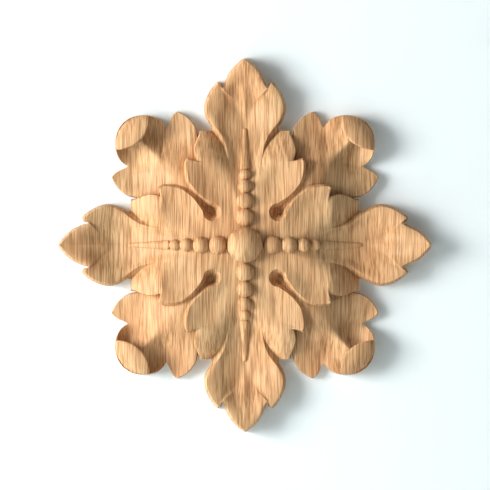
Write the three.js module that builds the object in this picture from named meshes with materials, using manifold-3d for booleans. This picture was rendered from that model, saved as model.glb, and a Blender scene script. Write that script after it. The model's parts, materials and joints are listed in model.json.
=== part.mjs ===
// A carved wooden rosette: an applique of four upright acanthus leaves in a cross, four smaller
// leaves on the diagonals with their tips rolled over, a ball in the middle and, down each upright
// leaf, a string of beads that ends in a spike. It is carved from one board, so it is one solid.
//
// Everything is modelled lying on its back: u to the right, v up the face and h out of the back.
// The finished piece is then turned upright, with its back on the plane y = 0.

import * as THREE from 'three';
import { mergeVertices } from 'three/addons/utils/BufferGeometryUtils.js';
import Module from 'manifold-3d';

const wasm = await Module();
wasm.setup();

// Driving sizes, in millimetres
const reach = 75; // from the middle to the tip of an upright leaf
const relief = 14; // height of the leaves above the back near the middle

const ballRadius = 7;
const ballTop = 22; // highest point of the piece

const beadRadii = [3.7, 3.3, 2.75, 2.25];
const beadLift = 0.4; // how far the middle of a bead stands above the leaf under it
const beadOverlap = 0.3; // how far neighbours in the string run into each other

const spikeLength = 16.5;
const spikeRootHalfWidth = 1.95;
const spikeEndHalfWidth = 0.95;
const spikeRootHeight = 1.7; // above the leaf under it
const spikeEndHeight = 1.0;
const spikeSink = 1.5; // how far its underside is buried
const spikeGap = 0.2; // between the last bead and the spike
const spikeRootRound = 0.9; // length of its rounded start

const eyeRadius = 3.6; // hollow where two upright leaves meet
const eyeDepth = 4.4;
const eyeSlope = 2.5; // how much narrower it gets on its way down
const groove = 0.15; // half the width left open in the bottom of the channel that leads out of it

const tuckDepth = 3.4; // how far the lower lobe has dropped behind the upper one at its last tooth
const smallWallSlope = 0.6; // how far the wall of a small leaf stands out at its foot

const curlRise = 11.5; // highest line of a rolled leaf tip, on its midrib
const curlLip = 10.3; // height of the rolled edge there
const curlEndRise = 7.6; // the same two heights where the roll runs out
const curlEndLip = 7.2;
const curlWall = 2.6; // wood left at the outside of the roll
const lipThickness = 1.3;

const bury = 2; // everything runs this far past the back, which is then cut flat

// Plan shares are hundredths of the reach, and height shares are hundredths of the relief
const planShare = reach / 100;
const heightShare = relief / 100;

// Fineness: rows from one landmark of a leaf to the next, strips across, sides of the round things
const rowCounts = { seam: 2, eye: 4, channel: 4, backNotch: 1, shoulder: 1, tuck: 4, lobe: 5, notch: 1, tip: 5 };
const bladeStrips = 5;
const wingStrips = 4;
const smallCounts = { root: 3, sideLobe: 4, sideNotch: 3, end: 6 };
const smallStrips = 4;
const curlSteps = 8;
const curlRings = 3;
const ballSides = 20;
const beadSides = 10;
const spikeSides = 8;
const spikeSteps = 4;
const weldDistance = 1e-4;
const smoothing = 0.05; // slivers flatter than this are taken out of the finished skin

// Row number at each landmark of an upright leaf, counted from the middle of the rosette to its tip
const atEye = rowCounts.seam;
const atChannel = atEye + rowCounts.eye;
const atBackTooth = atChannel + rowCounts.channel;
const atBackNotch = atBackTooth + rowCounts.backNotch;
const atCrevice = atBackNotch + rowCounts.shoulder;
const atJoin = atCrevice + rowCounts.tuck;
const atTooth = atJoin + rowCounts.lobe;
const atNotch = atTooth + rowCounts.notch;
const atTip = atNotch + rowCounts.tip;
const midEye = (atEye + atChannel) / 2;
const midChannel = (atChannel + atBackTooth) / 2;
const midTuck = (atCrevice + atJoin) / 2;
const midLobe = (atJoin + atTooth) / 2;
const midTip = (atNotch + atTip) / 2;

// Row number at each landmark of a small leaf
const atSideLobe = smallCounts.root;
const atSideTip = atSideLobe + smallCounts.sideLobe;
const atSideNotch = atSideTip + smallCounts.sideNotch;
const atEnd = atSideNotch + smallCounts.end;

// Smooth value through [key, value] pairs that never swings past them
function track(pairs) {
	const keys = pairs.map((pair) => pair[0]);
	const values = pairs.map((pair) => pair[1]);
	const last = keys.length - 1;
	const slopes = [];
	for (let i = 0; i < last; i++) {
		slopes.push((values[i + 1] - values[i]) / (keys[i + 1] - keys[i]));
	}
	const tangents = values.map((value, i) => {
		if (i === 0) return slopes[0];
		if (i === last) return slopes[last - 1];
		const before = slopes[i - 1];
		const after = slopes[i];
		return before * after <= 0 ? 0 : (2 * before * after) / (before + after);
	});
	return (key) => {
		const at = Math.min(Math.max(key, keys[0]), keys[last]);
		let i = 0;
		while (i < last - 1 && at > keys[i + 1]) i++;
		const span = keys[i + 1] - keys[i];
		const t = (at - keys[i]) / span;
		const rise = t * t * (3 - 2 * t);
		return (
			values[i] * (1 - rise) +
			values[i + 1] * rise +
			span * t * (1 - t) * ((1 - t) * tangents[i] - t * tangents[i + 1])
		);
	};
}

// Round curve through points given in plan shares, taken at even distances along its length
function outline(points) {
	const curve = new THREE.SplineCurve(points.map(([u, v]) => new THREE.Vector2(u, v)));
	return (share) => curve.getPointAt(Math.min(Math.max(share, 0), 1)).multiplyScalar(planShare);
}

// Plan position of a point given along and across the diagonal
function fromDiagonal([along, across]) {
	return [(along - across) * Math.SQRT1_2, (along + across) * Math.SQRT1_2];
}

const mix = THREE.MathUtils.lerp;
const point = (plan, h) => new THREE.Vector3(plan.x, plan.y, h);

// Plan of half an upright leaf, right of its midrib
const crestLine = outline([[0, 0], [2.7, 12.9], [4.8, 22.5], [7.0, 30.6], [8.6, 38.6], [9.1, 45.6]]);
const tuckLine = outline([[9.1, 45.6], [9.5, 49.3], [10.3, 53.1], [11.6, 56.6], [13.4, 59.9], [16.1, 63.4]]);
const lobeLine = outline([
	[16.1, 63.4], [18.4, 66.5], [19.9, 70.0], [20.5, 73.5], [19.6, 78.0], [17.5, 82.6], [14.6, 86.5],
]);
const notchLine = outline([[14.6, 86.5], [13.2, 85.1], [12.0, 83.3]]);
const tipLine = outline([[12.0, 83.3], [10.9, 85.5], [9.7, 88.5], [7.9, 92.4], [5.4, 95.4], [2.7, 98.0], [0, 100]]);
const tuckFoot = outline([[9.1, 45.6], [10.7, 50.8], [12.6, 54.6], [15.0, 57.6], [18.2, 61.0]]);
const channelLine = outline(
	[
		[28.1, 3.4], [31.5, 2.6], [34.7, 2.1], [38.3, 1.9], [41.3, 2.25], [44.6, 2.8],
		[47.2, 4.2], [50.2, 6.3], [53.1, 9.1], [53.8, 10.6],
	].map(fromDiagonal),
);
const backNotchLine = outline([[30.45, 45.55], [27.9, 45.1], [25.7, 44.9]]);
const wingLine = outline([
	[25.7, 44.9], [26.5, 47.6], [26.8, 50.2], [26.3, 52.9], [24.9, 56.7], [23.9, 59.1], [23.8, 61.0],
]);

const eyeAlong = 24.7; // place of the eye on the diagonal, in plan shares
const eyeShare = eyeRadius / planShare;
const eyeTurn = Math.PI * 0.76; // how far its rim runs before the channel takes over

function eyeRim(share) {
	const turn = Math.PI - share * eyeTurn;
	const rim = fromDiagonal([eyeAlong + eyeShare * Math.cos(turn), eyeShare * Math.sin(turn)]);
	return new THREE.Vector2(rim[0], rim[1]).multiplyScalar(planShare);
}

const seamEnd = eyeRim(0);
const crestShare = track([
	[0, 0], [atEye, 0.3], [atChannel, 0.6], [atBackTooth, 0.82], [atBackNotch, 0.93], [atCrevice, 1],
]);

// Inner line of the leaf's outer half: crest, then the edge of the upper lobe up to the tip
function bladeEdge(row) {
	if (row <= atCrevice) return crestLine(crestShare(row));
	if (row <= atJoin) return tuckLine((row - atCrevice) / rowCounts.tuck);
	if (row <= atTooth) return lobeLine((row - atJoin) / rowCounts.lobe);
	if (row <= atNotch) return notchLine((row - atTooth) / rowCounts.notch);
	return tipLine((row - atNotch) / rowCounts.tip);
}

// Outer line of the lower lobe: seam with the next leaf, rim of the eye, channel, two teeth
function wingEdge(row) {
	if (row <= atEye) return seamEnd.clone().multiplyScalar(row / atEye);
	if (row <= atChannel) return eyeRim((row - atEye) / rowCounts.eye);
	if (row <= atBackTooth) return channelLine((row - atChannel) / rowCounts.channel);
	if (row <= atBackNotch) return backNotchLine((row - atBackTooth) / rowCounts.backNotch);
	return wingLine((row - atBackNotch) / (atJoin - atBackNotch));
}

const midribPlace = track([
	[0, 0], [atEye, 12.9], [atChannel, 25.7], [atBackTooth, 34.3], [atBackNotch, 38], [atCrevice, 40.2],
	[atJoin, 52.5], [atTooth, 63.3], [atNotch, 71.8], [atTip, 100],
]);
// Relief of an upright leaf: it falls from the middle into a valley and rises again to its tip
const midribHeight = track([
	[0, 97], [20, 96], [27, 93], [33, 86], [40, 70], [47, 51], [54, 34], [60, 23.5], [64, 19.5], [68, 18.5],
	[71, 19.5], [75, 25], [80, 37], [85, 50], [90, 61], [95, 70], [100, 79],
]);
const bladeRim = track([
	[0, 97], [atEye, 97], [atChannel, 96], [atBackTooth, 86], [atBackNotch, 76], [atCrevice, 68], [midTuck, 50],
	[atJoin, 46], [midLobe, 55], [atTooth, 58], [atNotch, 57], [midTip, 58], [atTip, 79],
]);
const bladeNotch = track([[atTooth, 0], [atNotch, 9], [midTip, 5], [atTip, 0]]);
const bladeHollow = track([
	[atEye, 0], [atChannel, 1], [atBackTooth, 5], [atCrevice, 7], [atJoin, 6], [midLobe, 10], [atTooth, 15],
	[atNotch, 11], [midTip, -1], [atTip, 0],
]);
const wingRim = track([
	[0, 97], [atEye, 98], [midEye, 101], [atChannel, 104], [midChannel, 107], [atBackTooth, 107],
	[atBackNotch, 103], [atCrevice, 94], [midTuck, 68], [atJoin, 42],
]);
const wingNotch = track([[atBackTooth, 0], [atBackNotch, 10], [atCrevice, 7], [midTuck, 1], [atJoin, 0]]);
const wingHollow = track([
	[0, 0], [atEye, 0], [atChannel, 2], [midChannel, 4], [atBackTooth, 4], [atBackNotch, 2], [atCrevice, 0],
]);
const wingFullness = track([[midChannel, 0], [atBackTooth, 0.4], [atBackNotch, 0.75], [atCrevice, 1]]);
const stepPower = 8; // how close to the outline the step in a notch between two teeth stays
const tuckDrop = track([[atCrevice, 0], [atCrevice + 1, 0.1], [midTuck, 0.4], [atJoin, 1]]);

const hump = (share) => Math.sin(Math.PI * Math.min(Math.max(share, 0), 1)) ** 2;

// Leaf surface between the midrib (strip share 0) and the crest or upper lobe's edge (1)
function bladePoint(row, share) {
	const place = midribPlace(row);
	const rib = midribHeight(place) * heightShare;
	const rim = bladeRim(row) * heightShare;
	const plan = new THREE.Vector2(0, place * planShare).lerp(bladeEdge(row), share);
	const rise = Math.sin((Math.PI / 2) * share) ** 2;
	const below = bladeHollow(row) * hump(share) + bladeNotch(row) * share ** stepPower;
	return point(plan, mix(rib, rim, rise) - below * heightShare);
}

// Leaf surface between the crest or the foot of the tuck (strip share 0) and the outer line (1): a
// bowl near the eye, and rounded over at the last tooth
function wingPoint(row, share) {
	const inner = row <= atCrevice ? bladeEdge(row) : tuckFoot((row - atCrevice) / rowCounts.tuck);
	const innerHeight = bladeRim(row) * heightShare - tuckDepth * tuckDrop(row);
	const rim = wingRim(row) * heightShare;
	const rise = mix(share ** 2, 1 - (1 - share) ** 3, wingFullness(row));
	const below = wingHollow(row) * hump(share) + wingNotch(row) * share ** stepPower;
	return point(inner.lerp(wingEdge(row), share), mix(innerHeight, rim, rise) - below * heightShare);
}

// Rows of points from a function of the row and the strip share
function grid(firstRow, lastRow, strips, place) {
	const rows = [];
	for (let row = firstRow; row <= lastRow; row++) {
		const line = [];
		for (let strip = 0; strip <= strips; strip++) line.push(place(row, strip / strips));
		rows.push(line);
	}
	return rows;
}

// Triangles over rows of points, with the given side facing out
function skin(rows, flip = false) {
	const triangles = [];
	for (let i = 0; i + 1 < rows.length; i++) {
		for (let j = 0; j + 1 < rows[i].length; j++) {
			const [a, b, c, d] = [rows[i][j], rows[i][j + 1], rows[i + 1][j + 1], rows[i + 1][j]];
			const pair = a.distanceTo(c) < b.distanceTo(d) ? [[a, b, c], [a, c, d]] : [[a, b, d], [b, c, d]];
			for (const [p, q, r] of pair) triangles.push(flip ? [p, r, q] : [p, q, r]);
		}
	}
	return triangles;
}

// Direction square to a line of points, to its right, in plan
function sideways(line, i) {
	const before = line[Math.max(i - 1, 0)];
	const after = line[Math.min(i + 1, line.length - 1)];
	return new THREE.Vector2(after.y - before.y, before.x - after.x).normalize();
}

// Wall slopes along an upright leaf: plan shares by which the wall stands out at its knee
const bladeSlope = track([
	[atJoin, 1.3], [midLobe, 1.3], [atTooth, 0.7], [atNotch, 0], [midTip, 0.6], [atTip, 0.2],
]);
const wingSlope = track([
	[atEye, eyeSlope / planShare], [atChannel - 1, eyeSlope / planShare], [atChannel, 3.6], [midChannel, 2.4],
	[atBackTooth, 1.6], [atBackNotch, 0], [midTuck, 0.8], [atJoin, 0.7],
]);
const eyeDrop = (eyeDepth + 0.6) / heightShare;
const wingDrop = track([
	[atEye, eyeDrop], [atChannel - 1, eyeDrop], [atChannel, 24], [midChannel, 20], [atBackTooth, 20],
	[atBackNotch, 26], [atCrevice, 38], [midTuck, 32], [atJoin, 20],
]); // height from the edge of the lower lobe down to the knee of its wall
const kneeShare = 0.5; // height share of the knee in the wall of the upper lobe
const footSpread = 1.25; // how much further than its knee the foot of the upper lobe's wall stands out

const lowered = (p) => new THREE.Vector3(p.x, p.y, -bury);
const lastOf = (list) => list[list.length - 1];

// Knee of a wall beside a point of its edge: out by the slope, at the given height
function knee(edge, outward, slope, height) {
	const plan = new THREE.Vector2(edge.x, edge.y).addScaledVector(outward, slope * planShare);
	return point(plan, height);
}

// A point kept on its own side of the diagonal, so that the walls of two leaves never cross
function besideDiagonal(p) {
	const short = Math.max(groove - (p.y - p.x) * Math.SQRT1_2, 0) * Math.SQRT1_2;
	return new THREE.Vector3(p.x - short, p.y + short, p.z);
}

// The rows seen from below: the same plan at the buried level, with some corners moved to the foot
function underside(rows, moved) {
	const low = rows.map((line) => line.map(lowered));
	for (const [row, strip, foot] of moved) low[row][strip] = foot;
	return low;
}

// Half an upright leaf as triangles, closed except on the midrib and on the seam
function halfLeaf() {
	const blade = grid(0, atTip, bladeStrips, bladePoint);
	const wing = grid(0, atJoin, wingStrips, wingPoint);
	const tuck = blade.slice(atCrevice, atJoin + 1).map((line, i) => [line[bladeStrips], wing[atCrevice + i][0]]);

	// The wall of the upper lobe meets the lower lobe at the join
	const join = wing[atJoin][0];
	const lobe = blade.slice(atJoin).map((line) => line[bladeStrips]);
	const lobeKnee = lobe.map((edge, i) => {
		if (i === 0) return join;
		const outward = i === lobe.length - 1 ? new THREE.Vector2(0, 1) : sideways(lobe, i);
		return knee(edge, outward, bladeSlope(atJoin + i), edge.z * kneeShare);
	});
	const lobeFoot = lobe.map((edge, i) => lowered(i === 0 ? join : edge.clone().lerp(lobeKnee[i], footSpread)));

	// The outer wall of the lower lobe starts in the eye
	const outer = wing.slice(atEye).map((line) => line[wingStrips]);
	const outerKnee = outer.map((edge, i) => {
		const row = atEye + i;
		const outward = i === 0 ? new THREE.Vector2(Math.SQRT1_2, Math.SQRT1_2) : sideways(outer, i);
		const low = knee(edge, outward, wingSlope(row), edge.z - wingDrop(row) * heightShare);
		return i === 0 ? low : besideDiagonal(low);
	});
	const outerFoot = outerKnee.map(lowered);

	// The wall above the lower lobe runs from the join to its last tooth
	const crown = wing[atJoin];
	const shift = lastOf(outerKnee).clone().sub(lastOf(crown));
	const crownKnee = crown.map((edge, j) => {
		const share = j / wingStrips;
		const bent = edge.clone().addScaledVector(shift, share);
		return bent.setZ(mix(join.z, lastOf(outerKnee).z, share));
	});
	const crownFoot = crownKnee.map(lowered);

	const lobeMoves = lobeFoot.map((foot, i) => [atJoin + i, bladeStrips, foot]);
	const outerMoves = outerFoot.map((foot, i) => [atEye + i, wingStrips, foot]);
	const crownMoves = crownFoot.map((foot, j) => [atJoin, j, foot]);
	const tuckMoves = [0, 1].map((side) => [rowCounts.tuck, side, lowered(join)]);

	return [
		...skin(blade),
		...skin(tuck),
		...skin(wing),
		...skin([lobe, lobeKnee, lobeFoot], true),
		...skin([outer, outerKnee, outerFoot], true),
		...skin([crown, crownKnee, crownFoot]),
		...skin(underside(blade, lobeMoves), true),
		...skin(underside(tuck, tuckMoves), true),
		...skin(underside(wing, [...outerMoves, ...crownMoves]), true),
	];
}

const mirrored = (triangles) =>
	triangles.map(([a, b, c]) => [a, c, b].map((p) => new THREE.Vector3(-p.x, p.y, p.z)));
const quarterTurned = (triangles) =>
	triangles.map((triangle) => triangle.map((p) => new THREE.Vector3(-p.y, p.x, p.z)));

// Geometry from loose triangles
function surface(triangles) {
	const positions = triangles.flatMap((triangle) => triangle.flatMap((p) => [p.x, p.y, p.z]));
	const geometry = new THREE.BufferGeometry();
	geometry.setAttribute('position', new THREE.Float32BufferAttribute(positions, 3));
	return geometry;
}

// A solid from a closed geometry: corners are shared, and triangles that shrank to a line are left out
function solid(geometry) {
	const bare = geometry.clone();
	bare.deleteAttribute('normal');
	bare.deleteAttribute('uv');
	const merged = mergeVertices(bare, weldDistance);
	const corners = merged.index.array;
	const kept = [];
	for (let i = 0; i < corners.length; i += 3) {
		const [a, b, c] = [corners[i], corners[i + 1], corners[i + 2]];
		if (a !== b && b !== c && c !== a) kept.push(a, b, c);
	}
	return new wasm.Manifold(
		new wasm.Mesh({
			numProp: 3,
			vertProperties: new Float32Array(merged.attributes.position.array),
			triVerts: new Uint32Array(kept),
		}),
	);
}

function uprightLeaves() {
	const half = halfLeaf();
	let leaf = [...half, ...mirrored(half)];
	const all = [];
	for (let turn = 0; turn < 4; turn++) {
		all.push(...leaf);
		leaf = quarterTurned(leaf);
	}
	return solid(surface(all));
}

// Plan of half a small leaf: modelled pointing up, and turned onto its diagonal later
const rolledEnd = [[13.7, 82.8], [11.3, 86.3], [8.0, 89.2], [4.3, 91.2], [0, 92.0]];
const rootLine = outline([[2.1, 16.1], [8.0, 32.2], [17.2, 48.3], [22.5, 57.9], [24.9, 62.2]]);
const sideLobeLine = outline([[24.9, 62.2], [25.9, 65.4], [26.2, 68.6], [25.9, 71.8], [24.6, 75.9]]);
const sideNotchLine = outline([[24.6, 75.9], [22.2, 76.1], [19.4, 75.5], [16.1, 74.4], [14.5, 74.2]]);
const endLine = outline([[14.5, 74.2], [15.0, 76.4], [14.9, 79.6], ...rolledEnd]);

function smallEdge(row) {
	if (row <= atSideLobe) return rootLine(row / smallCounts.root);
	if (row <= atSideTip) return sideLobeLine((row - atSideLobe) / smallCounts.sideLobe);
	if (row <= atSideNotch) return sideNotchLine((row - atSideTip) / smallCounts.sideNotch);
	return endLine((row - atSideNotch) / smallCounts.end);
}

const floorShare = wingRim(atEye) - eyeDepth / heightShare;
const smallPlace = track([[0, 16], [atSideLobe, 46], [atSideTip, 57], [atSideNotch, 64], [atEnd, 92]]);
const smallRibHeight = track([
	[16, floorShare], [25, floorShare], [29, 84], [33, 88], [40, 90], [48, 89], [52, 85], [56, 78], [60, 69],
	[65, 59], [70, 53], [74, 53], [79, 58], [86, 52], [92, 42],
]);
const smallRim = track([
	[0, floorShare], [atSideLobe, 37], [atSideTip, 24], [atSideNotch, 17], [atSideNotch + 1, 34],
	[atSideNotch + 2, 52], [atSideNotch + 3, 56], [atEnd, 50],
]);
const smallHollow = track([
	[0, 0], [atSideLobe / 2, 4], [atSideLobe, 20], [atSideTip, 32], [atSideNotch, 25], [atSideNotch + 1, 29],
	[atSideNotch + 2, 29], [atSideNotch + 3, 22], [atEnd, 0],
]);
const notchReach = 2; // rows over which a wall straightens up towards a notch

// Surface of a small leaf: a sharp midrib, a hollow beside it and lobes that cup up to their rims
function smallPoint(row, share) {
	const place = smallPlace(row);
	const rib = smallRibHeight(place) * heightShare;
	const rim = smallRim(row) * heightShare;
	const plan = new THREE.Vector2(0, place * planShare).lerp(smallEdge(row), share);
	const hollow = smallHollow(row) * heightShare * Math.sin(Math.PI * share);
	return point(plan, mix(rib, rim, share ** 2) - hollow);
}

function smallLeafHalf() {
	const top = grid(0, atEnd, smallStrips, smallPoint);
	const edge = top.map((line) => line[smallStrips]);
	const foot = edge.map((p, row) => {
		if (row === 0) return lowered(p);
		const outward = row === atEnd ? new THREE.Vector2(0, 1) : sideways(edge, row);
		const spread = smallWallSlope * Math.min(Math.abs(row - atSideNotch) / notchReach, 1);
		return new THREE.Vector3(p.x + outward.x * spread, p.y + outward.y * spread, -bury);
	});
	const under = underside(top, foot.map((p, row) => [row, smallStrips, p]));
	return [...skin(top), ...skin([edge, foot], true), ...skin([top[0], under[0]], true), ...skin(under, true)];
}

// The rolled tip: its edge bows towards the outline on both sides and ends in it
const curlHalfWidth = 12.7;
const curlEndShare = 0.96; // how much of that width is built, which leaves its ends a little wood
const lipPlace = 78.8;
const lipBow = 5.5;
const curlCrestShare = 0.25; // where the roll is highest, from its edge to the outline
const curlRoundShare = 0.55; // how far down the outside the round goes, as a share of its width
const curlOutline = track([...rolledEnd].reverse());
const curlEdge = (across) => lipPlace + lipBow * (across / curlHalfWidth) ** 2;
const fullRoll = (curlOutline(0) - curlEdge(0)) * planShare;

// One slice of the rolled tip: its outer line from foot to edge, and the line of the hollow inside
function curlSlice(across) {
	const fade = Math.sqrt(1 - (across / curlHalfWidth) ** 2);
	const outside = curlOutline(Math.abs(across)) * planShare;
	const lip = curlEdge(across) * planShare;
	const roll = outside - lip;
	const top = mix(curlEndRise, curlRise, fade);
	const lipHeight = mix(curlEndLip, curlLip, fade);
	const crest = lip + roll * curlCrestShare;
	const shoulder = top - roll * curlRoundShare;
	const inside = outside - (curlWall * roll) / fullRoll;
	const outerLine = [[outside, -bury]];
	const innerLine = [[inside, -bury]];
	const quarter = (ring) => (ring / curlRings) * (Math.PI / 2);
	for (let ring = 0; ring <= curlRings; ring++) {
		const [far, up] = [Math.cos(quarter(ring)), Math.sin(quarter(ring))];
		outerLine.push([mix(crest, outside, far), mix(shoulder, top, up)]);
		innerLine.push([mix(crest, inside, far), mix(shoulder, top - lipThickness, up)]);
	}
	for (let ring = 1; ring <= curlRings; ring++) {
		const [back, up] = [Math.sin(quarter(ring)), Math.cos(quarter(ring))];
		const line = mix(crest, lip, back);
		outerLine.push([line, mix(lipHeight, top, up)]);
		innerLine.push([line, mix(lipHeight, top, up) - lipThickness]);
	}
	const place = ([along, h]) => new THREE.Vector3(across * planShare, along, h);
	return [outerLine.map(place), innerLine.map(place)];
}

function curl() {
	const slices = [];
	for (let step = 0; step <= curlSteps; step++) {
		const side = Math.sin((step / curlSteps - 0.5) * Math.PI);
		slices.push(curlSlice(side * curlHalfWidth * curlEndShare));
	}
	const loops = slices.map(([outerLine, innerLine]) => [...outerLine, ...[...innerLine].reverse(), outerLine[0]]);
	return solid(surface([...skin(loops), ...skin(slices[0], true), ...skin(lastOf(slices))]));
}

function smallLeaf() {
	const half = smallLeafHalf();
	return solid(surface([...half, ...mirrored(half)])).add(curl());
}

function ball(radius, sides, along, h) {
	const sphere = new THREE.SphereGeometry(radius, sides, sides / 2);
	sphere.rotateX(Math.PI / 2);
	sphere.translate(0, along, h);
	return solid(sphere);
}

const spikeRound = [0.4, 0.85]; // how its first and last slices shrink to blunt ends

// Round bar lying half buried on the midrib, thinner and lower towards its end
function spike(start) {
	const slices = [
		...spikeRound.map((shrink) => [0, shrink]),
		...Array.from({ length: spikeSteps + 1 }, (_, step) => [step / spikeSteps, 1]),
		...[...spikeRound].reverse().map((shrink) => [1, shrink]),
	];
	const body = [start + spikeRootRound, start + spikeLength - spikeEndHalfWidth];
	const loops = [];
	for (const [share, shrink] of slices) {
		const rounding = Math.sqrt(1 - shrink ** 2) * mix(-spikeRootRound, spikeEndHalfWidth, share);
		const along = mix(body[0], body[1], share) + rounding;
		const leafHeight = midribHeight(along / planShare) * heightShare;
		const width = mix(spikeRootHalfWidth, spikeEndHalfWidth, share) * shrink;
		const rise = mix(spikeRootHeight, spikeEndHeight, share) * shrink;
		const loop = [];
		for (let side = 0; side <= spikeSides; side++) {
			const turn = ((side % spikeSides) / spikeSides) * 2 * Math.PI;
			const up = Math.sin(turn);
			const h = leafHeight + up * (up > 0 ? rise : spikeSink);
			loop.push(new THREE.Vector3(width * Math.cos(turn), along, h));
		}
		loops.push(loop);
	}
	const cap = (loop) => {
		const middle = loop[0].clone().lerp(loop[spikeSides / 2], 0.5);
		return skin([loop, loop.map(() => middle)]);
	};
	const backwards = [...lastOf(loops)].reverse();
	return solid(surface([...skin(loops, true), ...cap(loops[0]), ...cap(backwards)]));
}

// The string of beads and the spike down one upright leaf
function beadString() {
	const pieces = [];
	let end = ballRadius + beadOverlap;
	for (const radius of beadRadii) {
		const middle = end - beadOverlap + radius;
		const leafHeight = midribHeight(middle / planShare) * heightShare;
		pieces.push(ball(radius, beadSides, middle, leafHeight + beadLift));
		end = middle + radius;
	}
	pieces.push(spike(end + spikeGap));
	return pieces;
}

function cutFlat(body) {
	const below = new THREE.BoxGeometry(4 * reach, 4 * reach, 2 * reach);
	below.translate(0, 0, -reach);
	return body.subtract(solid(below));
}

function carving() {
	let body = uprightLeaves();
	body = body.add(ball(ballRadius, ballSides, 0, ballTop - ballRadius));
	const small = smallLeaf();
	const string = beadString();
	for (let turn = 0; turn < 4; turn++) {
		body = body.add(small.rotate([0, 0, 45 + 90 * turn]));
		for (const piece of string) body = body.add(piece.rotate([0, 0, 90 * turn]));
	}
	// Pockets closed in between the beads are filled: only the outer skin is kept
	const skins = cutFlat(body).simplify(smoothing).decompose();
	return skins.reduce((largest, other) => (other.volume() > largest.volume() ? other : largest));
}

function meshOf(body, name, material) {
	const { vertProperties, triVerts } = body.getMesh();
	const geometry = new THREE.BufferGeometry();
	geometry.setAttribute('position', new THREE.BufferAttribute(vertProperties, 3));
	geometry.setIndex(new THREE.BufferAttribute(triVerts, 1));
	geometry.computeVertexNormals();
	const mesh = new THREE.Mesh(geometry, material);
	mesh.name = name;
	return mesh;
}

const wood = new THREE.MeshStandardMaterial({ color: 0xc99f72, roughness: 0.6, metalness: 0 });
const rosette = meshOf(carving(), 'carved_rosette', wood);
rosette.rotation.x = Math.PI / 2;

const part = new THREE.Group();
part.add(rosette);
export default part;
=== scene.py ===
# %% [markdown]
# # A carved wooden rosette
#
# The real piece is cut from one board of light hardwood: four upright acanthus leaves in a cross,
# four smaller leaves on the diagonals with rolled tips, and a ball with strings of beads.
# The faceted CAD solid gives its size and place. This lesson carves the same form again with a
# much finer surface, joins it into one skin, and finishes it as bare sanded wood.

import json

import bpy
import numpy as np
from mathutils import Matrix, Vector

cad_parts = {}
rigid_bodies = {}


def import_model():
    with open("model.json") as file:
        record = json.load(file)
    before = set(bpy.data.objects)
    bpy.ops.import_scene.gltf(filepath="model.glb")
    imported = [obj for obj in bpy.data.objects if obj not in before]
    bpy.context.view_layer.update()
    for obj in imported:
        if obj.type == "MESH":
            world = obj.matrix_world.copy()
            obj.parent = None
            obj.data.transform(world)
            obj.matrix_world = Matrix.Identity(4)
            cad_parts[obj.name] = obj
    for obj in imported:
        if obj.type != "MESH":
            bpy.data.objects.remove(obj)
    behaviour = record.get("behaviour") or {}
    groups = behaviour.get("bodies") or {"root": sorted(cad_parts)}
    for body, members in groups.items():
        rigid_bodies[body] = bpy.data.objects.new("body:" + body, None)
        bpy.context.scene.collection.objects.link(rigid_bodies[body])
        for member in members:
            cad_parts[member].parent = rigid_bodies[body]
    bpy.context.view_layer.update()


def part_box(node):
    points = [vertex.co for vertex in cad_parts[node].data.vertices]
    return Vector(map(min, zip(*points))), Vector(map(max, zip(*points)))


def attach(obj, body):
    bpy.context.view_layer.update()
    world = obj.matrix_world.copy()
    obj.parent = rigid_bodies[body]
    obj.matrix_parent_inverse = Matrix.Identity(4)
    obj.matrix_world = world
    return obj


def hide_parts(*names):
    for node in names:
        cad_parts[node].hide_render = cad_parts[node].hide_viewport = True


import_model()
NODE = "carved_rosette"
lowest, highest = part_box(NODE)
print("CAD box", [round(v, 4) for v in (*lowest, *highest)])

# %% [markdown]
# ## Camera
#
# The photograph looks straight at the carved face from far away, so nothing shows perspective.
# A long lens at a distance does the same. The width of the picture is known from the size of
# the rosette in it, and the distance and that width give the angle of view.

# %% Camera
PICTURE_WIDTH = 0.197
CAMERA_DISTANCE = 1.6

camera_data = bpy.data.cameras.new("camera")
camera_data.sensor_fit = "HORIZONTAL"
camera_data.angle = 2 * np.arctan(PICTURE_WIDTH / 2 / CAMERA_DISTANCE)
camera = bpy.data.objects.new("camera", camera_data)
camera.location = (0, -CAMERA_DISTANCE, 0)
camera.rotation_euler = (np.pi / 2, 0, 0)
bpy.context.collection.objects.link(camera)
bpy.context.scene.camera = camera
print("angle of view", round(float(np.degrees(camera_data.angle)), 2), "degrees")

# %% [markdown]
# ## Measures
#
# The carving is drawn lying on its back, in millimetres: across, up the face, and height above
# the flat back. Outlines are in hundredths of the reach of a leaf and heights in hundredths of
# the relief, so both follow from the box of the CAD solid. Rows are counted from landmark to
# landmark as in the CAD model, only with many steps to a row.

# %% Measures
MM = 0.001
DIAGONAL = np.sqrt(0.5)  # how far a step of one along a diagonal goes across, and up
TIP_FOOT = 0.25  # how far the foot of the wall stands out past the tip, in hundredths of the reach
REACH = (highest[0] - lowest[0]) / 2 / MM / (1 + TIP_FOOT / 100)
THICKNESS = (highest[1] - lowest[1]) / MM
RELIEF = THICKNESS * 14 / 22  # the ball stands out of the relief, to 22 mm where the leaves reach 14
PLAN = REACH / 100
RISE = RELIEF / 100
BURY = 2.0  # how far every form runs on under the back, where it is cut off in the end

# Rows of the landmarks of an upright leaf, and then of a small one.
EYE, CHANNEL, BACK_TOOTH, BACK_NOTCH, CREVICE, JOIN, TOOTH, NOTCH, TIP = 2, 6, 10, 11, 12, 16, 21, 22, 27
SIDE_LOBE, SIDE_TIP, SIDE_NOTCH, END = 3, 7, 10, 16
print("reach", round(REACH, 2), "mm, relief", round(RELIEF, 2), "mm")

# %% [markdown]
# ## Curves
#
# Two kinds of curve carry every shape. A track is a height or a width that changes smoothly from
# one row to the next and never swings past its given values. An outline is a round line through
# a few points, walked at an even pace. Both take whole arrays at once.


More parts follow.
